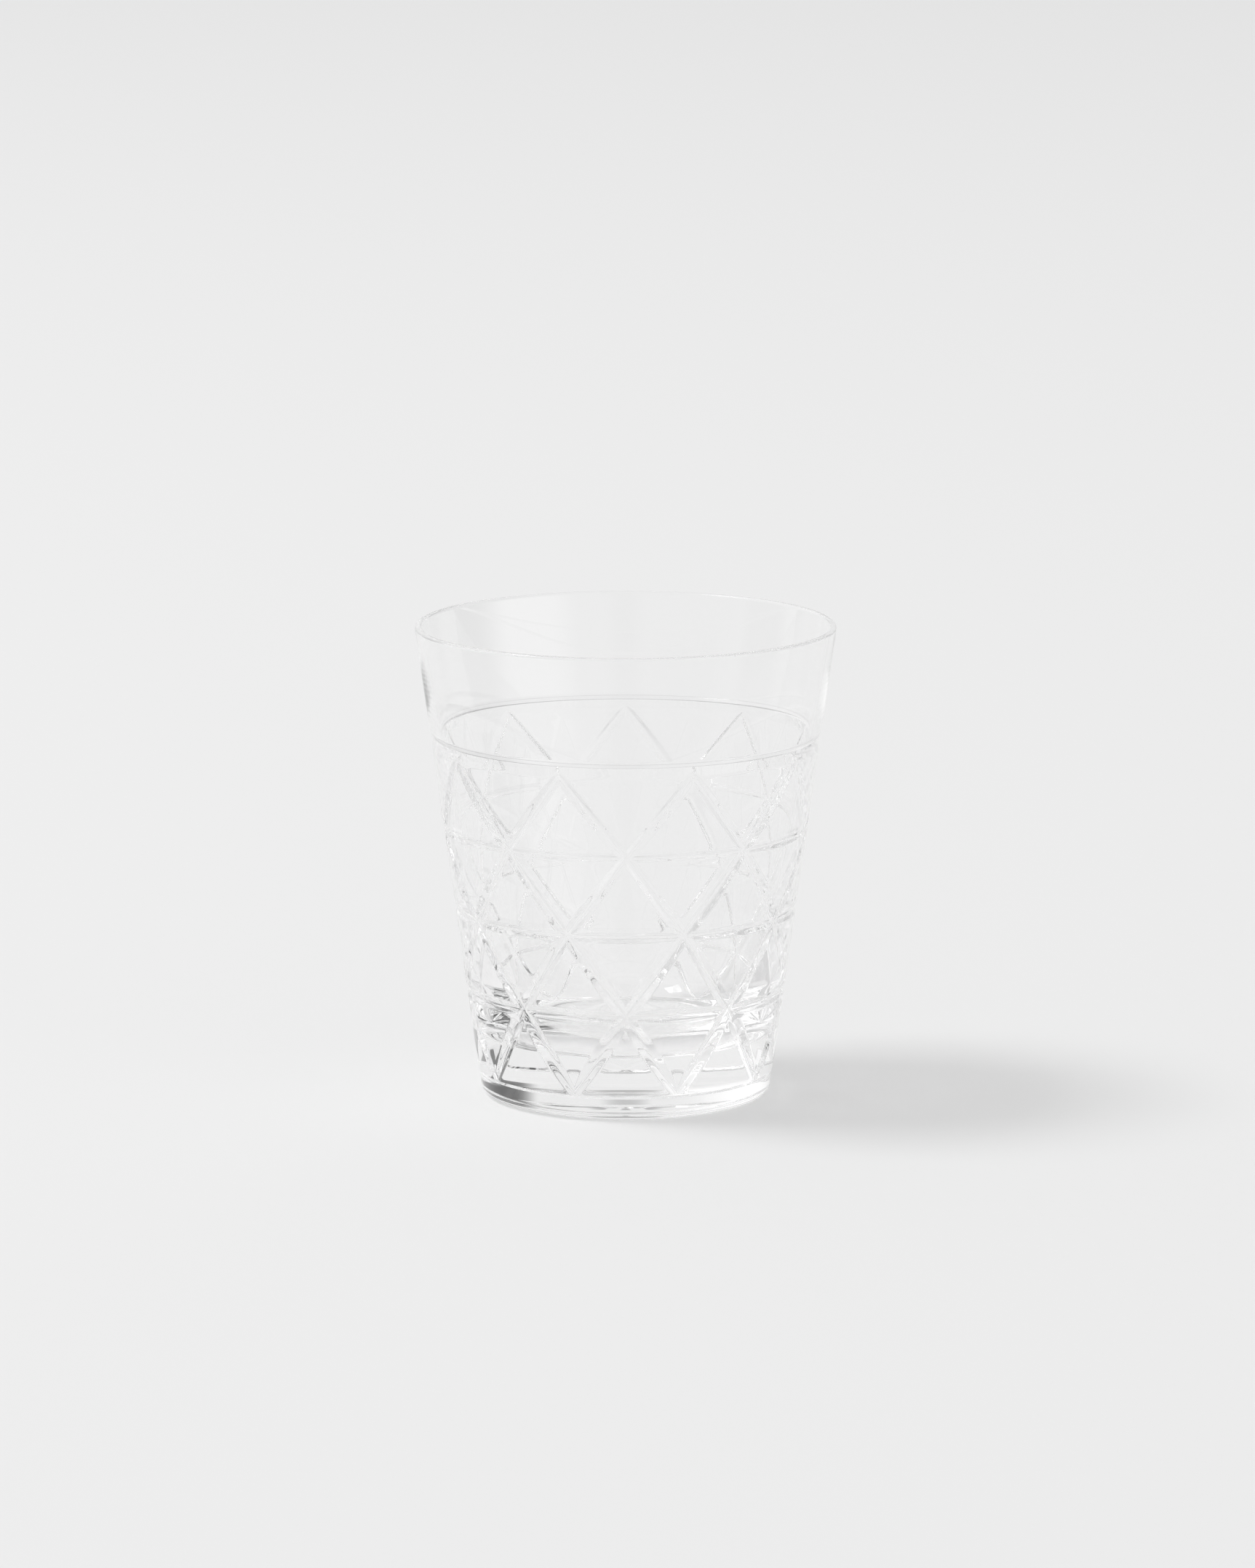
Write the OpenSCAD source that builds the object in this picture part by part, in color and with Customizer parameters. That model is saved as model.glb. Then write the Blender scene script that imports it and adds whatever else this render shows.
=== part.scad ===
// Cut-crystal whiskey tumbler: one solid piece of clear glass, with no lid, foot ring or other part.
// +Z is up. The origin is the centre of the circle that the glass stands on. Sizes are in millimetres.

/* [Body] */
// Height from the table to the lip
height = 96; // [90:1:104]
// Outer diameter at the lip
rim_d = 85; // [80:1:92]
// Outer diameter at the foot crease, where the straight wall ends
foot_d = 59.8; // [56:0.2:64]
// Height of the foot crease
foot_h = 5.3; // [4.6:0.1:6.5]
// Diameter of the flat ground base
base_d = 54; // [48:1:56]
// How far the heel below the crease is set in from the wall
heel_set_in = 0.45; // [0.3:0.05:0.8]
// Radius of the rounding between the heel and the flat base
heel_round = 2.2; // [1.5:0.1:2.6]

/* [Hollow] */
// Thickness of the wall at the lip, which is fully round
lip_wall = 1.3; // [1.1:0.1:2]
// Thickness of the wall where the rounding of the bowl begins
low_wall = 4.2; // [3.6:0.1:5.2]
// Thickness of the glass under the hollow
floor_h = 12; // [9:0.5:15]
// Radius of the flat inside floor
floor_r = 16.3; // [12:0.1:18]
// Height of the rounding between the inside floor and the inside wall
bowl_h = 26; // [18:1:30]

/* [Cuts] */
// How many times the triangle pattern repeats round the glass
repeats = 9; // [8:1:10]
// Number of rows of triangles
rows = 4; // [3:1:4]
// Height of the row tips just under the neck ring
top_tips_h = 71.5; // [68:0.5:74]
// Height of the bottom of the neck ring
neck_ring_h = 73.3; // [72.5:0.1:76]
// Depth of the neck ring
neck_ring_depth = 0.6; // [0.5:0.1:1.1]
// Depth of the rings through the crossings
ring_depth = 0.6; // [0.4:0.1:0.9]
// Depth that the slanted cuts keep at the crossings
crossing_depth = 0.25; // [0.15:0.05:0.4]
// Angle between the two faces of a cut, in degrees
cut_angle = 112; // [95:1:125]

/* [Hidden] */
$fn = 96;

rim_r = rim_d / 2;
foot_r = foot_d / 2;
base_r = base_d / 2;
wall_lean = (rim_r - foot_r) / (height - foot_h);    // outward run of the wall per millimetre of height
wall_tilt = atan(wall_lean);
lip_r = lip_wall / 2;
row_h = (top_tips_h - foot_h) / rows;
half_step = 180 / repeats;                           // turn from one row's crossings to the next row's
heel_r = foot_r - heel_set_in;
heel_bend_in = 0.66;                                 // the heel's rounding is two cones; where they meet,
heel_bend_h = 0.7;                                   // in from the heel and up from the table
crease_depth = 0.35;                                 // how far the crease goes in behind the heel
crease_down = 1.7;                                   // how far the crease's cutter opens below its bottom
crease_up = 1.5;                                     // and above it
clear = 2;                                           // how far a ring cutter stands out of the wall
overcut = 1;                                         // how far the hollow's cutter goes past the lip
bowl_steps = 16;                                     // number of cones in the rounding of the bowl
wall_steps = 8;                                      // number of cones in the inside of the wall
cutter_h = 3;                                        // height of a V cutter, well clear of the glass
overrun = 2.5;                                       // length that a slanted cutter runs past each crossing
neck_flank_up = 1.5;                                 // height of the neck ring above its bottom
neck_flank_down = 2.1;                               // height of the neck ring below its bottom

// Radius of the outside wall at a height, before any cut
function wall_r(z) = foot_r + wall_lean * (z - foot_h);

// Height of a row line: 0 is the foot crease, and the last is the line of the top tips
function row_z(row) = foot_h + row * row_h;

// A point at the bottom of the cuts, on a row line, turned by the given angle
function crossing(row, turn) =
    let (r = wall_r(row_z(row)) - crossing_depth) [r * cos(turn), r * sin(turn), row_z(row)];

function unit(v) = v / norm(v);

// Outline of the solid glass blank, from the axis out and up to the lip
module blank_outline() {
    lip_top = height - lip_r;
    difference() {
        union() {
            polygon([
                [0, 0],
                [base_r, 0],
                [heel_r - heel_bend_in, heel_bend_h],
                [heel_r, heel_round],
                [heel_r, foot_h],
                [foot_r, foot_h],
                [wall_r(lip_top), lip_top],
                [wall_r(lip_top) - lip_wall, lip_top],
                [0, lip_top]
            ]);
            // the lip, a full round
            translate([wall_r(lip_top) - lip_r, lip_top]) circle(r = lip_r);
        }
        // the crease between the heel and the wall
        polygon([
            [heel_r - crease_depth, foot_h],
            [heel_r + clear, foot_h - crease_down],
            [foot_r + clear, foot_h + crease_up]
        ]);
    }
}

// Outline of the hollow: a wall that thickens downwards, an elliptical rounding and a flat floor
module hollow_outline() {
    lip_top = height - lip_r;
    bowl_top = floor_h + bowl_h;
    wall_h = lip_top - bowl_top;
    thicken = low_wall - lip_wall;
    low_r = wall_r(bowl_top) - low_wall;
    // the wall thickens with the square of the way down, so this is how its inside leans at the bowl
    lean = wall_lean + 2 * thicken / wall_h;
    // the ellipse stands on the edge of the floor and touches the leaning wall
    half_w = sqrt(pow(low_r - floor_r, 2) - pow(lean * bowl_h, 2));
    first = -atan2(lean * bowl_h, half_w);
    polygon(concat(
        [[0, height + overcut], [0, floor_h]],
        [for (i = [bowl_steps : -1 : 0])
            let (turn = first - (90 + first) * i / bowl_steps)
                [floor_r + half_w * cos(turn), bowl_top + bowl_h * sin(turn)]],
        [for (i = [wall_steps - 1 : -1 : 0])
            let (down = i / wall_steps, z = lip_top - down * wall_h)
                [wall_r(z) - lip_wall - thicken * pow(down, 2), z]],
        [[wall_r(height + overcut) - lip_wall, height + overcut]]
    ));
}

// One ring cut round the wall at height z, with flanks that reach up and down by the given heights
module ring_cut(z, depth, up, down) {
    reach = (depth + clear) / depth;
    rotate_extrude()
        polygon([
            [wall_r(z) - depth, z],
            [wall_r(z) + clear - reach * down * wall_lean, z - reach * down],
            [wall_r(z) + clear + reach * up * wall_lean, z + reach * up]
        ]);
}

// One straight slanted cut from a crossing on one row line to the next row line up
module slanted_cut(row, turn, lean) {
    from = crossing(row, -lean * half_step / 2);
    to = crossing(row + 1, lean * half_step / 2);
    along = unit(to - from);
    wall_normal = [cos(wall_tilt), 0, -sin(wall_tilt)];
    across = unit(cross(wall_normal, along));
    outward = cross(along, across);
    start = from - overrun * along;
    half_w = cutter_h * tan(cut_angle / 2);
    rotate([0, 0, turn + lean * half_step / 2])
        multmatrix([
            [across[0], outward[0], along[0], start[0]],
            [across[1], outward[1], along[1], start[1]],
            [across[2], outward[2], along[2], start[2]],
            [0, 0, 0, 1]
        ])
            linear_extrude(height = norm(to - from) + 2 * overrun)
                polygon([[0, 0], [half_w, cutter_h], [-half_w, cutter_h]]);
}

module tumbler() {
    front = -90;                                     // the pattern is symmetrical about the front
    ring_flank = ring_depth * tan(cut_angle / 2);
    color([0.93, 0.95, 0.96, 0.45])
    difference() {
        rotate_extrude() blank_outline();
        rotate_extrude() hollow_outline();
        ring_cut(neck_ring_h, neck_ring_depth, neck_flank_up, neck_flank_down);
        for (row = [1 : rows - 1])
            ring_cut(row_z(row), ring_depth, ring_flank, ring_flank);
        for (row = [0 : rows - 1], i = [0 : repeats - 1], lean = [-1, 1])
            slanted_cut(row, front + (2 * i + (row + 1) % 2) * half_step, lean);
    }
}

tumbler();
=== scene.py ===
import bpy
import math
import numpy as np
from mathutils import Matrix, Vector
from mathutils.geometry import delaunay_2d_cdt


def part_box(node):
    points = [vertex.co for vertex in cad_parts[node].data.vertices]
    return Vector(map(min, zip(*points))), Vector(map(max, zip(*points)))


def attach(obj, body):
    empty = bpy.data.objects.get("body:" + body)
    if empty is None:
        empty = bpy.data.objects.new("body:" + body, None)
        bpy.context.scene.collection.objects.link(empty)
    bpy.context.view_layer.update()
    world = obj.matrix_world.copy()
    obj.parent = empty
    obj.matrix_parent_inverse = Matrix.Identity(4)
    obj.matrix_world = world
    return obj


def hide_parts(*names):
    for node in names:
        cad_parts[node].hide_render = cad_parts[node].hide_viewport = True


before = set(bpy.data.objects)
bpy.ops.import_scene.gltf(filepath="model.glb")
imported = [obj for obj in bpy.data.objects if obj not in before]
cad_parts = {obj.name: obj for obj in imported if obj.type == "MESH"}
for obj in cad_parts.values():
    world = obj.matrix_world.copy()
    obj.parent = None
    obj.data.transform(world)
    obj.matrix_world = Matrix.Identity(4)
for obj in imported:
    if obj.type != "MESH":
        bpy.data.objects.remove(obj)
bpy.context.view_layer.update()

# The glass is one closed mesh. Its cut wall is built as one thin wedge, from the front crossing to half a
# pattern step round, and the wedge is mirrored and turned into the whole ring. Everything that is only turned
# is a lathe profile on the same columns. Lengths here are in millimetres, angles in radians, and the mesh is
# put into metres at the end. "Turn" is the angle round the axis, counted from the front (-Y).

# ---------------------------------------------------------------- sizes of the glass

MM = 0.001
box_low, box_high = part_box("tumbler")
HEIGHT = (box_high.z - box_low.z) / MM
LIP_WALL = 1.3                      # thickness at the lip, which is fully round
LIP_R = LIP_WALL / 2
FOOT_R = 29.9                       # wall radius at the foot crease
FOOT_Z = 5.3                        # height of the foot crease
RIM_R = 42.5                        # wall radius carried on to the full height
LEAN = (RIM_R - FOOT_R) / (HEIGHT - FOOT_Z)
TILT = math.atan(LEAN)

BASE_R = 27.0                       # flat ground base
HEEL_R = 29.45                      # heel band under the crease
HEEL_ROUND = 2.4                    # height of the rounding between heel and base
HEEL_FLARE = 0.05                   # how much wider the heel band is at its top
CREASE_R = 29.1                     # bottom of the crease
CREASE_Z = 4.95
CREASE_FALL = 0.4                   # height of the crease's lower side
CREASE_NORMAL = (0.45, -0.89)       # the crease's upper side faces down and out

FLOOR_Z = 12.0                      # glass under the hollow
FLOOR_R = 16.3                      # radius of the inside floor, which is flat
BOWL_H = 26.0                       # half height of the ellipse that rounds the floor into the inside wall
LOW_WALL = 4.2                      # wall thickness at the height of the ellipse's centre

# ---------------------------------------------------------------- sizes of the cuts

REPEATS = 9
HALF_STEP = math.pi / REPEATS       # turn of the wedge
FACE_SLOPE = math.tan(math.radians(57.0))   # half width of a cut over its depth
BOTTOM_ROUND = 0.3                  # half width of the rounding at the bottom of a cut
EDGE_ROUND = 0.07                   # depth of the rounding along its edges
MITRE_ROUND = 0.08                  # depth of the rounding where two cuts meet
ROW_H = 16.55                       # height between row lines
TIP_Z = FOOT_Z + 4 * ROW_H          # the row of tips under the neck ring

# Crossings in the wedge, from the foot up: turn, height, half width of the slanted cuts there
CROSSINGS = [
    (HALF_STEP, FOOT_Z, 0.7),
    (0.0, FOOT_Z + ROW_H, 1.3),
    (HALF_STEP, FOOT_Z + 2 * ROW_H, 1.15),
    (0.0, FOOT_Z + 3 * ROW_H, 0.9),
    (HALF_STEP, TIP_Z, 0.9),
]
SLANT_SWELL = [0.65, 0.15, 0.3, 0.4]        # extra half width of each slanted cut half way along
RING_NARROW = [0.95, 0.8, 0.55]             # half width of each ring at its crossings
RING_WIDE = [1.45, 1.2, 0.9]                # and half way between them

NECK_Z = 73.3                       # bottom of the neck ring
NECK_DEPTH = 0.6
NECK_DOWN = 2.2                     # height of its lower flank
NECK_UP = 1.5                       # height of its upper flank
NECK_BULGE = 0.1                    # how far the upper flank swells outward

# ---------------------------------------------------------------- fineness of the mesh

COLUMNS = 16                        # lathe columns in one wedge
ROW_SHARES = (0.0, 0.14, 0.32, 0.55, 0.78, 0.92, 1.03, 1.18)    # rows of points over a cut's half width
ROW_STEP = 0.48                     # spacing of points along a cut
SIDE_STEP = 0.27                    # spacing of points down the wedge's sides
SIDE_GAP = 0.12                     # how far other points stay from the sides
FILL_STEP = 1.0                     # spacing of points inside the flats
NECK_STEP = 0.32                    # spacing of rows on the neck ring's lower flank
WALL_ROWS = 24                      # rows of faces down the inside wall
BOWL_ROWS = 30                      # rows of faces on the ellipse under it
POINT_GAP = 0.13                    # no two points are closer than this
EDGE_REACH = 1e-3                   # points this near an edge of the wedge are on it
OWN_MARGIN = 0.01                   # a cut's rows of points stop where another cut is deeper by this
FLAT_MARGIN = 0.3                   # the fill between the cuts keeps this depth clear of them
FAR_OUTSIDE = -9.0                  # depth that is outside every cut
MERGE_REACH = 1e-5                  # the triangulator merges points closer than this
SLIVER = 1e-7                       # a triangle with less area than this is dropped
STRIP_SLIVER = 1e-9                 # the same in the lathe strips, where only true zero areas occur
HEEL_ROWS = 8                       # rows of faces on the heel's rounding
BASE_ROWS = 5                       # on the base
RIM_ROWS = 5                        # on the rim band
LIP_ROWS = 12                       # on the lip
FLANK_ROWS = 6                      # on the neck ring's upper flank
FLOOR_ROWS = 4                      # on the inside floor
JOIN_ROWS = 2                       # on each short straight stretch


def wall_r(z):
    """Radius of the uncut wall at height z."""
    return FOOT_R + LEAN * (z - FOOT_Z)


def unroll(turn, z):
    """The wall is a cone, so it unrolls flat without stretching: turn and height to flat x and y."""
    reach = wall_r(z) / math.sin(TILT)
    swing = turn * math.sin(TILT)
    return np.array([reach * np.sin(swing), reach * np.cos(swing)])


def roll(point):
    """The inverse of unroll."""
    reach = np.hypot(point[0], point[1])
    swing = np.arctan2(point[0], point[1])
    return swing / math.sin(TILT), FOOT_Z + (reach * math.sin(TILT) - FOOT_R) / LEAN


def groove(half_width, away):
    """Depth of a V cut with a rounded bottom, at a distance from its middle; negative outside the cut."""
    return (half_width - np.sqrt(away ** 2 + BOTTOM_ROUND ** 2)) / FACE_SLOPE


def soft_max(a, b, softness):
    """The larger of two depths, with the corner between them rounded."""
    return (a + b + np.sqrt((a - b) ** 2 + softness ** 2)) / 2


class Slant:
    """The slanted cut between two crossings; it is straight on the unrolled wall."""

    def __init__(self, low, high, swell):
        self.low, self.high, self.swell = low, high, swell
        self.start = unroll(low[0], low[1])
        along = unroll(high[0], high[1]) - self.start
        self.length = float(np.hypot(*along))
        self.along = along / self.length

    def half_width(self, share):
        """Half width of the cut at a share of its length."""
        return self.low[2] + (self.high[2] - self.low[2]) * share + self.swell * 4 * share * (1 - share)

    def depth(self, turn, z):
        flat = unroll(turn, z)
        x, y = flat[0] - self.start[0], flat[1] - self.start[1]
        reach = x * self.along[0] + y * self.along[1]
        inside = np.clip(reach, 0.0, self.length)
        away = np.hypot(x - inside * self.along[0], y - inside * self.along[1])
        return groove(self.half_width(inside / self.length), away)

    def rows(self):
        """Points in rows along the cut, as turns and heights."""
        count = int(round(self.length / ROW_STEP))
        for k, share_across in enumerate(ROW_SHARES):
            for side in (-1, 1):
                shares = (np.arange(count + 1) + 0.5 * (k % 2)) / count
                offset = side * share_across * self.half_width(np.clip(shares, 0, 1))
                x = self.start[0] + self.along[0] * shares * self.length + self.along[1] * offset
                y = self.start[1] + self.along[1] * shares * self.length - self.along[0] * offset
                yield roll((x, y))


class Ring:
    """A ring cut through a crossing; it gets wider and deeper away from the crossing."""

    def __init__(self, crossing, narrow, wide):
        self.turn, self.z = crossing[0], crossing[1]
        self.narrow, self.wide = narrow, wide

    def half_width(self, turn):
        away = np.sin((turn - self.turn) / HALF_STEP * math.pi / 2) ** 2
        return self.narrow + (self.wide - self.narrow) * np.sqrt(away)

    def depth(self, turn, z):
        return groove(self.half_width(turn), (z - self.z) / math.cos(TILT))

    def rows(self):
        count = int(round(HALF_STEP * wall_r(self.z) / ROW_STEP))
        for k, share_across in enumerate(ROW_SHARES):
            for side in (-1, 1):
                turns = (np.arange(count + 1) + 0.5 * (k % 2)) / count * HALF_STEP
                yield turns, self.z + side * share_across * self.half_width(turns) * math.cos(TILT)


class NeckFlank:
    """The lower flank of the neck ring, which closes the top of the wedge."""

    def depth(self, turn, z):
        return NECK_DEPTH * (z - (NECK_Z - NECK_DOWN)) / NECK_DOWN

    def rows(self):
        count = int(round(HALF_STEP * wall_r(NECK_Z) / FILL_STEP))
        row_count = int(round((NECK_DOWN + NECK_STEP) / NECK_STEP))
        for k in range(1, row_count + 1):
            turns = (np.arange(count + 1) + 0.5 * (k % 2)) / count * HALF_STEP
            yield turns, np.full(len(turns), NECK_Z - k * NECK_STEP)


slants = [Slant(CROSSINGS[i], CROSSINGS[i + 1], SLANT_SWELL[i]) for i in range(4)]
rings = [Ring(CROSSINGS[i + 1], RING_NARROW[i], RING_WIDE[i]) for i in range(3)]
cuts = slants + rings + [NeckFlank()]


def cut_depth(cut, turns, z):
    """Depth of one cut together with its mirror images beyond the wedge's two sides."""
    mirrored = np.maximum(cut.depth(-turns, z), cut.depth(2 * HALF_STEP - turns, z))
    return np.maximum(cut.depth(turns, z), mirrored)


def wall_depth(turns, z):
    """Depth of the finished wall below the uncut one, with every edge rounded."""
    total = np.full(np.shape(turns), FAR_OUTSIDE)
    for cut in cuts:
        if isinstance(cut, Slant):
            for image in (turns, -turns, 2 * HALF_STEP - turns):
                total = soft_max(total, cut.depth(image, z), MITRE_ROUND)
        else:
            total = soft_max(total, cut.depth(turns, z), MITRE_ROUND)
    return soft_max(total, 0.0, EDGE_ROUND)


def surface(turns, z):
    """Points on the finished wall; the depth is taken at right angles to the uncut wall, and front is -Y."""
    depth = wall_depth(turns, z)
    r = wall_r(z) - depth * math.cos(TILT)
    return np.stack([r * np.sin(turns), -r * np.cos(turns), z + depth * math.sin(TILT)], axis=-1)


def surface_normals(turns, z):
    step_turn, step_z = 1e-4, 3e-3
    across = surface(turns + step_turn, z) - surface(turns - step_turn, z)
    upward = surface(turns, z + step_z) - surface(turns, z - step_z)
    normal = np.cross(across, upward)
    return normal / np.linalg.norm(normal, axis=-1, keepdims=True)


def wedge_layout():
    """Turns and heights of the wedge's points: its border first, then rows along the cuts, then the flats."""
    column_shares = np.arange(COLUMNS + 1) / COLUMNS
    side_count = int(round((NECK_Z - FOOT_Z) / SIDE_STEP))
    side_z = FOOT_Z + (NECK_Z - FOOT_Z) * np.arange(side_count + 1) / side_count
    border = [(t * HALF_STEP, FOOT_Z) for t in column_shares]
    border += [(HALF_STEP, z) for z in side_z[1:]]
    border += [(t * HALF_STEP, NECK_Z) for t in column_shares[-2::-1]]
    border += [(0.0, z) for z in side_z[-2:0:-1]]

    inner = []
    for index, cut in enumerate(cuts):
        for turns, z in cut.rows():
            own = cut.depth(turns, z)
            others = [cut_depth(other, turns, z) for k, other in enumerate(cuts) if k != index]
            keep = own > np.max(others, axis=0) - OWN_MARGIN
            inner += list(zip(turns[keep], z[keep]))
    fill_rows = int((NECK_Z - FOOT_Z) / (FILL_STEP * math.sqrt(3) / 2))
    for j in range(1, fill_rows):
        z = FOOT_Z + (NECK_Z - FOOT_Z) * j / fill_rows
        count = int(round(HALF_STEP * wall_r(z) / FILL_STEP))
        turns = (np.arange(count) + 0.5 * (j % 2)) / count * HALF_STEP
        depths = np.max([cut_depth(cut, turns, np.full(count, z)) for cut in cuts], axis=0)
        inner += [(t, z) for t in turns[depths < -FLAT_MARGIN]]
    return border, inner


def build_wedge():
    """Triangulate the wedge; turns and heights of its points, and its triangles."""
    flat_scale = wall_r((FOOT_Z + NECK_Z) / 2)      # turns to millimetres, near enough for the triangulator
    border, inner = wedge_layout()
    points = [(t * flat_scale, z) for t, z in border]
    edges = [(i, (i + 1) % len(border)) for i in range(len(border))]
    taken = {}

    def near(x, z):
        column, row = int(x // POINT_GAP), int(z // POINT_GAP)
        around = [(column + i, row + j) for i in (-1, 0, 1) for j in (-1, 0, 1)]
        there = [point for cell in around for point in taken.get(cell, ())]
        return any(math.hypot(x - px, z - pz) < POINT_GAP for px, pz in there)

    def take(x, z):
        taken.setdefault((int(x // POINT_GAP), int(z // POINT_GAP)), []).append((x, z))

    for x, z in points:
        take(x, z)
    width = HALF_STEP * flat_scale
    for t, z in inner:
        x = t * flat_scale
        in_width = SIDE_GAP < x < width - SIDE_GAP
        in_height = FOOT_Z + SIDE_GAP < z < NECK_Z - SIDE_GAP
        if in_width and in_height and not near(x, z):
            take(x, z)
            points.append((x, z))
    result = delaunay_2d_cdt([Vector(p) for p in points], edges, [], 1, MERGE_REACH)
    xy = np.array([tuple(v) for v in result[0]])
    faces = np.array([f for f in result[2] if len(f) == 3])
    a, b, c = (xy[faces[:, k]] for k in range(3))
    area = (b[:, 0] - a[:, 0]) * (c[:, 1] - a[:, 1]) - (b[:, 1] - a[:, 1]) * (c[:, 0] - a[:, 0])
    faces[area < 0] = faces[area < 0][:, ::-1]
    faces = faces[np.abs(area) > SLIVER]
    # the triangulator rounds its numbers, so points on the wedge's four edges are put back exactly
    turns, z = xy[:, 0] / flat_scale, xy[:, 1]
    for edge_z in (FOOT_Z, NECK_Z):
        on_edge = np.abs(z - edge_z) < EDGE_REACH
        z = np.where(on_edge, edge_z, z)
        turns = np.where(on_edge, np.round(turns / HALF_STEP * COLUMNS) * HALF_STEP / COLUMNS, turns)
    for side in (0.0, HALF_STEP):
        turns = np.where(np.abs(turns - side) * flat_scale < EDGE_REACH, side, turns)
    return turns, z, faces


turns, heights, wedge_faces = build_wedge()
wedge_points = surface(turns, heights)
wedge_normals = surface_normals(turns, heights)
wedge_is_cut = wall_depth(turns[wedge_faces].mean(1), heights[wedge_faces].mean(1)) > EDGE_ROUND / 2

# ---------------------------------------------------------------- lathe profiles


def arc(centre, radius, start, end, steps):
    """Points and normals on an arc in the (radius, height) plane; angles in degrees from +radius."""
    angles = np.radians(np.linspace(start, end, steps + 1))
    normals = np.stack([np.cos(angles), np.sin(angles)], axis=-1)
    return np.array(centre) + radius * normals, normals


def straight(a, b, steps, normal=None):
    """Points and the normal of a straight stretch; the glass is on the left of its run."""
    a, b = np.array(a, float), np.array(b, float)
    points = a + (b - a) * np.linspace(0.0, 1.0, steps + 1)[:, None]
    if normal is None:
        run = (b - a) / np.linalg.norm(b - a)
        normal = np.array([run[1], -run[0]])
    return points, np.tile(normal, (steps + 1, 1))


def curve(points):
    """Points of a smooth stretch with normals from their neighbours; the glass is on the left of its run."""
    points = np.array(points, float)
    run = np.gradient(points, axis=0)
    run /= np.linalg.norm(run, axis=1, keepdims=True)
    return points, np.stack([run[:, 1], -run[:, 0]], axis=-1)


TOP_Z = HEIGHT - LIP_R
wall_normal = np.array([math.cos(TILT), -math.sin(TILT)])


def rim_band():
    """The smooth band from the neck ring up to the lip."""
    start = (wall_r(NECK_Z + NECK_UP), NECK_Z + NECK_UP)
    return [straight(start, (wall_r(TOP_Z), TOP_Z), RIM_ROWS, wall_normal)]


def lip():
    """The round lip, from the outside over the top to the inside."""
    return [arc((wall_r(TOP_Z) - LIP_R, TOP_Z), LIP_R, 0, 180, LIP_ROWS)]


def hollow():
    """The inside of the wall, a short straight stretch, a part of an ellipse, and the inside floor."""
    bowl_top = FLOOR_Z + BOWL_H
    wall_h = TOP_Z - bowl_top
    thicken = LOW_WALL - LIP_WALL
    # the wall thickens with the square of the way down, so its lean inside grows evenly
    down = np.linspace(0.0, 1.0, WALL_ROWS + 1)
    wall_z = TOP_Z - down * wall_h
    wall_part = np.stack([wall_r(wall_z) - LIP_WALL - thicken * down ** 2, wall_z], axis=-1)
    leans = LEAN + 2 * thicken * down / wall_h
    wall_facing = np.stack([-np.ones_like(leans), leans], axis=-1)
    wall_facing /= np.linalg.norm(wall_facing, axis=1, keepdims=True)
    # the ellipse stands on the floor's edge, and the wall's last tangent touches it
    reach = wall_part[-1, 0] - FLOOR_R
    rise = leans[-1] * BOWL_H
    half_w = math.sqrt(reach ** 2 - rise ** 2)
    angles = np.linspace(-math.atan2(rise, half_w), -math.pi / 2, BOWL_ROWS + 1)
    bowl = np.stack([FLOOR_R + half_w * np.cos(angles), bowl_top + BOWL_H * np.sin(angles)], axis=-1)
    facing = np.stack([-np.cos(angles) / half_w, -np.sin(angles) / BOWL_H], axis=-1)
    facing /= np.linalg.norm(facing, axis=1, keepdims=True)
    join_part = straight(wall_part[-1], bowl[0], JOIN_ROWS, facing[0])
    floor_part = straight(bowl[-1], (0.0, FLOOR_Z), FLOOR_ROWS, np.array([0.0, 1.0]))
    return [(wall_part, wall_facing), join_part, (bowl, facing), floor_part]


def base_and_heel():
    """From the middle of the flat base out to its edge, up the heel and into the crease."""
    edge = (BASE_R, 0.0)
    bends = np.radians(np.linspace(0.0, 90.0, HEEL_ROWS + 1))
    heel_run = [(BASE_R + (HEEL_R - BASE_R) * math.sin(a), HEEL_ROUND * (1 - math.cos(a))) for a in bends]
    heel_top = (HEEL_R + HEEL_FLARE, CREASE_Z - CREASE_FALL)
    return [
        straight((0.0, 0.0), edge, BASE_ROWS, np.array([0.0, -1.0])),
        curve(heel_run),
        straight(heel_run[-1], heel_top, JOIN_ROWS),
        straight(heel_top, (CREASE_R, CREASE_Z), 1),
    ]


# ---------------------------------------------------------------- the whole mesh

corner_points, corner_dirs, corner_mats = [], [], []
SMOOTH_GLASS, CUT_GLASS = 0, 1


def add_triangles(points, normals, material):
    """Add triangles given as corner positions and corner normals, both (n, 3, 3), and a material for each."""
    corner_points.append(points)
    corner_dirs.append(normals)
    corner_mats.append(np.broadcast_to(material, len(points)))


def add_wedges():
    """The cut wall: the wedge, mirrored and turned all the way round."""
    material = np.where(wedge_is_cut, CUT_GLASS, SMOOTH_GLASS)
    tri, normals = wedge_points[wedge_faces], wedge_normals[wedge_faces]
    mirror = np.array([-1.0, 1.0, 1.0])
    for k in range(REPEATS):
        a = 2 * HALF_STEP * k
        turned = np.array([[math.cos(a), math.sin(a), 0], [-math.sin(a), math.cos(a), 0], [0, 0, 1]])
        add_triangles(tri @ turned, normals @ turned, material)
        add_triangles((tri * mirror)[:, ::-1] @ turned, (normals * mirror)[:, ::-1] @ turned, material)


N_COLUMNS = 2 * REPEATS * COLUMNS
column_turns = 2 * math.pi * np.arange(N_COLUMNS + 1) / N_COLUMNS


def spun(r, z):
    """A point of the profile at every column."""
    r, z = np.broadcast_to(r, N_COLUMNS + 1), np.broadcast_to(z, N_COLUMNS + 1)
    return np.stack([r * np.sin(column_turns), -r * np.cos(column_turns), z], axis=-1)


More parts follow.
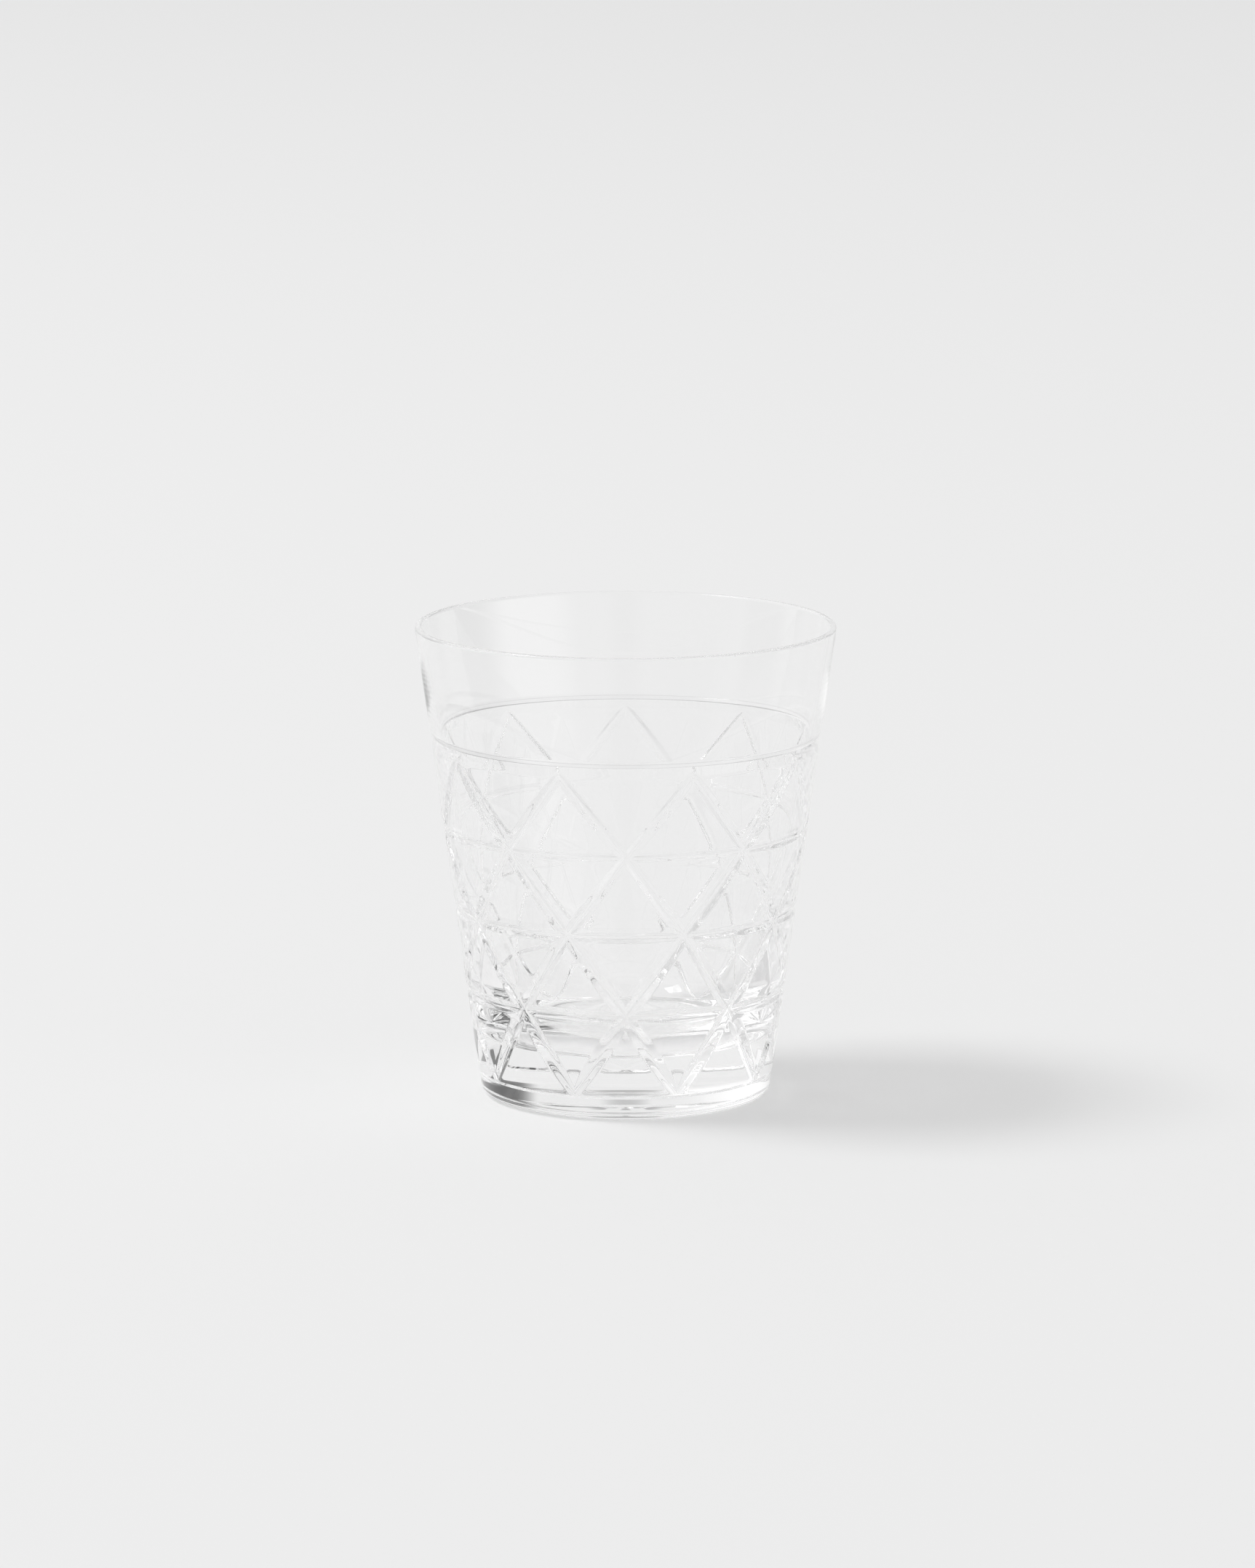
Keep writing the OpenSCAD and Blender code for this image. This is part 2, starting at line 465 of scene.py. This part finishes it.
def add_strip(low, high, low_normal, high_normal, material):
    """Triangles between two loops of points. Seen from outside the glass, low to high runs up."""
    quads = [low[:-1], low[1:], high[1:], high[:-1]]
    dirs = [low_normal[:-1], low_normal[1:], high_normal[1:], high_normal[:-1]]
    for pick in ((0, 1, 2), (0, 2, 3)):
        tri = np.stack([quads[k] for k in pick], axis=1)
        nor = np.stack([dirs[k] for k in pick], axis=1)
        size = np.linalg.norm(np.cross(tri[:, 1] - tri[:, 0], tri[:, 2] - tri[:, 0]), axis=1)
        keep = size > STRIP_SLIVER
        add_triangles(tri[keep], nor[keep], material)


def add_lathe(parts, material):
    for points, normals in parts:
        for i in range(len(points) - 1):
            add_strip(
                spun(*points[i]), spun(*points[i + 1]), spun(*normals[i]), spun(*normals[i + 1]), material
            )


def wall_edge(z):
    """Radius and height of the finished wall's edge at every column, where the wedges end at height z."""
    folded = np.abs((column_turns / HALF_STEP + 1) % 2 - 1) * HALF_STEP
    depth = wall_depth(folded, np.full_like(folded, z))
    return wall_r(z) - depth * math.cos(TILT), z + depth * math.sin(TILT)


def add_crease():
    """From the crease's bottom out to the wall's bottom edge, which the tips of the cuts notch."""
    normal = spun(*CREASE_NORMAL)
    add_strip(spun(CREASE_R, CREASE_Z), spun(*wall_edge(FOOT_Z)), normal, normal, CUT_GLASS)


def add_neck():
    """The upper flank of the neck ring, which bulges a little, from the ring's bottom up to the rim band."""
    low = np.array(wall_edge(NECK_Z))
    high = np.array([wall_r(NECK_Z + NECK_UP), NECK_Z + NECK_UP])[:, None]
    run = (high - low).mean(1)
    out = np.array([run[1], -run[0]]) / np.linalg.norm(run)
    flank = []
    for share in np.linspace(0.0, 1.0, FLANK_ROWS + 1):
        point = low + (high - low) * share + out[:, None] * NECK_BULGE * 4 * share * (1 - share)
        slope = NECK_BULGE * 4 * (1 - 2 * share) / np.linalg.norm(run)
        normal = out - slope * run / np.linalg.norm(run)
        flank.append((spun(*point), spun(*(normal / np.linalg.norm(normal)))))
    for (point_a, normal_a), (point_b, normal_b) in zip(flank, flank[1:]):
        add_strip(point_a, point_b, normal_a, normal_b, CUT_GLASS)


add_lathe(base_and_heel(), SMOOTH_GLASS)
add_crease()
add_wedges()
add_neck()
add_lathe(rim_band() + lip() + hollow(), SMOOTH_GLASS)

WELD_GRID = 1e4                     # corners closer than a ten-thousandth of a millimetre are one point
WELD_SHIFT = 0.2371                 # keeps round sizes away from the grid's own rounding edges
points = np.concatenate(corner_points).reshape(-1, 3)
normals = np.concatenate(corner_dirs).reshape(-1, 3)
mats = np.concatenate(corner_mats)
keys = np.round(points * WELD_GRID + WELD_SHIFT).astype(np.int64)
_, first, index = np.unique(keys, axis=0, return_index=True, return_inverse=True)
triangles = index.reshape(-1, 3)
whole = np.all(triangles != np.roll(triangles, 1, axis=1), axis=1)
triangles, mats = triangles[whole], mats[whole]
normals = normals.reshape(-1, 3, 3)[whole].reshape(-1, 3)
normals = normals / np.linalg.norm(normals, axis=1, keepdims=True)

mesh = bpy.data.meshes.new("crystal_tumbler")
mesh.from_pydata((points[first] * MM).tolist(), [], triangles.tolist())
mesh.polygons.foreach_set("material_index", mats.astype(np.int32))
mesh.polygons.foreach_set("use_smooth", np.ones(len(triangles), dtype=bool))
mesh.update()
mesh.normals_split_custom_set(normals.tolist())
tumbler = bpy.data.objects.new("crystal_tumbler", mesh)
bpy.context.scene.collection.objects.link(tumbler)
print("tumbler mesh:", len(mesh.vertices), "points,", len(triangles), "triangles")

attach(tumbler, "root")
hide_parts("tumbler")

# ---------------------------------------------------------------- materials

GLASS_IOR = 1.53
POLISH_SCALE, POLISH_DETAIL = 60.0, 3.0     # noise that varies the polish
WAVE_DETAIL = 1.0
WAVE_STRENGTH = 0.2


def new_material(name):
    material = bpy.data.materials.new(name)
    material.use_nodes = True
    tree = material.node_tree
    tree.nodes.clear()
    out = tree.nodes.new("ShaderNodeOutputMaterial")
    shader = tree.nodes.new("ShaderNodeBsdfPrincipled")
    tree.links.new(shader.outputs["BSDF"], out.inputs["Surface"])
    return material, tree, shader


def add_noise(tree, scale, detail):
    """Noise over the object's own space."""
    where = tree.nodes.new("ShaderNodeTexCoord")
    noise = tree.nodes.new("ShaderNodeTexNoise")
    noise.inputs["Scale"].default_value = scale
    noise.inputs["Detail"].default_value = detail
    tree.links.new(where.outputs["Object"], noise.inputs["Vector"])
    return noise.outputs["Fac"]


def crystal(name, roughest, wave_scale, wave_height):
    """Clear glass: polish that varies a little, and the faint waves of a worked surface."""
    material, tree, shader = new_material(name)
    shader.inputs["Base Color"].default_value = (1.0, 1.0, 1.0, 1)
    shader.inputs["Transmission Weight"].default_value = 1.0
    shader.inputs["IOR"].default_value = GLASS_IOR
    rough = tree.nodes.new("ShaderNodeMapRange")
    rough.inputs["To Min"].default_value = 0.0
    rough.inputs["To Max"].default_value = roughest
    tree.links.new(add_noise(tree, POLISH_SCALE, POLISH_DETAIL), rough.inputs["Value"])
    tree.links.new(rough.outputs["Result"], shader.inputs["Roughness"])
    bump = tree.nodes.new("ShaderNodeBump")
    bump.inputs["Strength"].default_value = WAVE_STRENGTH
    bump.inputs["Distance"].default_value = wave_height
    tree.links.new(add_noise(tree, wave_scale, WAVE_DETAIL), bump.inputs["Height"])
    tree.links.new(bump.outputs["Normal"], shader.inputs["Normal"])
    return material


mesh.materials.append(crystal("crystal_polished", roughest=0.012, wave_scale=28.0, wave_height=0.00005))
mesh.materials.append(crystal("crystal_cut", roughest=0.02, wave_scale=90.0, wave_height=0.00002))


PAPER_GREY = 0.35                   # how much of the lamps' light the paper gives back
PAPER_GLOW = 0.40                   # of the light table under the paper
PAINTED_POOL_GLOW = 0.57                    # painted pool of light: the paper glows brighter in a disc right under the glass, making up for the shadow softbox's shadow there
PAINTED_POOL_IN, PAINTED_POOL_OUT = 0.02, 0.029     # radius of the painted pool of light's even middle and of its faded edge


def paper():
    """Pale paper on a light table: it glows softly and evenly, with a painted pool of light in a disc right
    under the glass, and lamps and shadows still show on it.
    """
    material, tree, shader = new_material("studio_paper")
    shader.inputs["Base Color"].default_value = (PAPER_GREY, PAPER_GREY, PAPER_GREY, 1)
    shader.inputs["Roughness"].default_value = 0.9
    shader.inputs["Specular IOR Level"].default_value = 0.1
    shader.inputs["Emission Color"].default_value = (1.0, 1.0, 1.0, 1)
    where = tree.nodes.new("ShaderNodeTexCoord")
    from_pool_middle = tree.nodes.new("ShaderNodeVectorMath")
    from_pool_middle.operation = "LENGTH"
    # painted light: the glow is brighter in a disc round the paper's middle, right under the glass
    glow = tree.nodes.new("ShaderNodeMapRange")
    glow.interpolation_type = "SMOOTHSTEP"
    glow.inputs["From Min"].default_value = PAINTED_POOL_IN
    glow.inputs["From Max"].default_value = PAINTED_POOL_OUT
    glow.inputs["To Min"].default_value = PAINTED_POOL_GLOW
    glow.inputs["To Max"].default_value = PAPER_GLOW
    tree.links.new(where.outputs["Object"], from_pool_middle.inputs[0])
    tree.links.new(from_pool_middle.outputs["Value"], glow.inputs["Value"])
    tree.links.new(glow.outputs["Result"], shader.inputs["Emission Strength"])
    return material


# ---------------------------------------------------------------- stage, light and camera


PAPER_Z = -0.00008                  # a hair of air under the base, as between any glass and its table
PAPER_HALF_W, PAPER_FRONT, PAPER_BACK = 8.0, -3.0, 12.0


def add_paper():
    """The paper: one flat sheet that reaches far behind the glass."""
    corners = [(x, y, PAPER_Z) for y in (PAPER_FRONT, PAPER_BACK) for x in (-PAPER_HALF_W, PAPER_HALF_W)]
    sweep_mesh = bpy.data.meshes.new("paper_sweep")
    sweep_mesh.from_pydata(corners, [], [(0, 1, 3, 2)])
    sweep_mesh.materials.append(paper())
    sweep = bpy.data.objects.new("paper_sweep", sweep_mesh)
    bpy.context.scene.collection.objects.link(sweep)
    return sweep


def add_softbox(name, size, power):
    """A square softbox high on the left, turned to the glass."""
    light = bpy.data.lights.new(name, "AREA")
    light.shape = "SQUARE"
    light.size = size
    light.energy = power
    lamp = bpy.data.objects.new(name, light)
    lamp.location = SOFTBOX_PLACE
    lamp.rotation_euler = (-SOFTBOX_PLACE).to_track_quat("-Z", "Y").to_euler()
    bpy.context.scene.collection.objects.link(lamp)
    return lamp


SOFTBOX_PLACE = Vector((-2.5, 0.15, 4.0))
paper_only = bpy.data.collections.new("paper_only")
paper_only.objects.link(add_paper())
add_softbox("key_softbox", 1.2, 20.0)
# this one lights only the paper, so that the glass casts a plain soft shadow on it
shadow_softbox = add_softbox("shadow_softbox", 1.5, 125.0)
shadow_softbox.light_linking.receiver_collection = paper_only

ROOM_LIGHT = 0.83                   # of the room where no patch is

# Patches of the room round the table: compass turn from the back toward the right, height above the
# horizon, radius of the even middle and of the faded edge, all in degrees, and how bright the patch is
ROOM_PATCHES = [
    (0.0, 90.0, 15.0, 35.0, 0.5),       # the ceiling
    (290.0, 40.0, 15.0, 60.0, 1.45),    # the glow round the window on the left
    (72.0, 30.0, 20.0, 45.0, 0.06),     # the dark wall on the right
    (46.0, 5.0, 9.0, 20.0, 0.2),        # and its low back end
    (0.0, 22.0, 8.0, 12.0, 0.55),       # a doorway at the back
    (180.0, 20.0, 8.0, 18.0, 0.6),      # the photographer
    (120.0, 0.0, 12.0, 35.0, 1.6),      # the bright end of the table
    (268.0, 0.0, 8.0, 20.0, 0.7),       # the dark end of the table
]


def room():
    """Soft light from a plain room that isn't equally bright all round, so that the glass shows its shape."""
    world = bpy.data.worlds.new("studio")
    world.use_nodes = True
    tree = world.node_tree
    background = tree.nodes["Background"]
    background.inputs["Color"].default_value = (1.0, 1.0, 1.0, 1)
    where = tree.nodes.new("ShaderNodeTexCoord")
    light = None
    for turn, up, inner, outer, share in ROOM_PATCHES:
        turn, up = math.radians(turn), math.radians(up)
        toward = tree.nodes.new("ShaderNodeVectorMath")
        toward.operation = "DOT_PRODUCT"
        aim = (math.sin(turn) * math.cos(up), math.cos(turn) * math.cos(up), math.sin(up))
        toward.inputs[1].default_value = aim
        patch = tree.nodes.new("ShaderNodeMapRange")
        patch.interpolation_type = "SMOOTHSTEP"
        patch.inputs["From Min"].default_value = math.cos(math.radians(outer))
        patch.inputs["From Max"].default_value = math.cos(math.radians(inner))
        patch.inputs["To Min"].default_value = 1.0
        patch.inputs["To Max"].default_value = share
        multiply = tree.nodes.new("ShaderNodeMath")
        multiply.operation = "MULTIPLY"
        multiply.inputs[0].default_value = ROOM_LIGHT
        tree.links.new(where.outputs["Generated"], toward.inputs[0])
        tree.links.new(toward.outputs["Value"], patch.inputs["Value"])
        if light is not None:
            tree.links.new(light, multiply.inputs[0])
        tree.links.new(patch.outputs["Result"], multiply.inputs[1])
        light = multiply.outputs["Value"]
    tree.links.new(light, background.inputs["Strength"])
    bpy.context.scene.world = world


room()


CAMERA_AIM = Vector((0.0, 0.0, 0.0632))
CAMERA_DISTANCE = 1.66
CAMERA_PITCH = math.radians(10.46)
CAMERA_LENS, CAMERA_SENSOR = 188.8, 36.0
CAMERA_SHIFT = 0.00116              # the glass stands a little left of the middle of the frame


def add_camera():
    """The viewing angle: low, from the front, with a long lens."""
    camera_data = bpy.data.cameras.new("camera")
    camera_data.sensor_fit = "AUTO"
    camera_data.sensor_width = CAMERA_SENSOR
    camera_data.lens = CAMERA_LENS
    camera_data.shift_x = CAMERA_SHIFT
    camera_data.clip_end = 50.0
    camera = bpy.data.objects.new("camera", camera_data)
    back = Vector((0.0, -math.cos(CAMERA_PITCH), math.sin(CAMERA_PITCH)))
    camera.location = CAMERA_AIM + CAMERA_DISTANCE * back
    camera.rotation_euler = (-back).to_track_quat("-Z", "Y").to_euler()
    bpy.context.scene.collection.objects.link(camera)
    bpy.context.scene.camera = camera


add_camera()

BOUNCES = 96                        # light passes through many surfaces of the cut wall
scene = bpy.context.scene
scene.view_settings.view_transform = "Standard"
scene.cycles.max_bounces = BOUNCES
scene.cycles.transmission_bounces = BOUNCES
scene.cycles.glossy_bounces = BOUNCES
scene.cycles.blur_glossy = 0.0
scene.cycles.caustics_refractive = True
scene.cycles.caustics_reflective = True
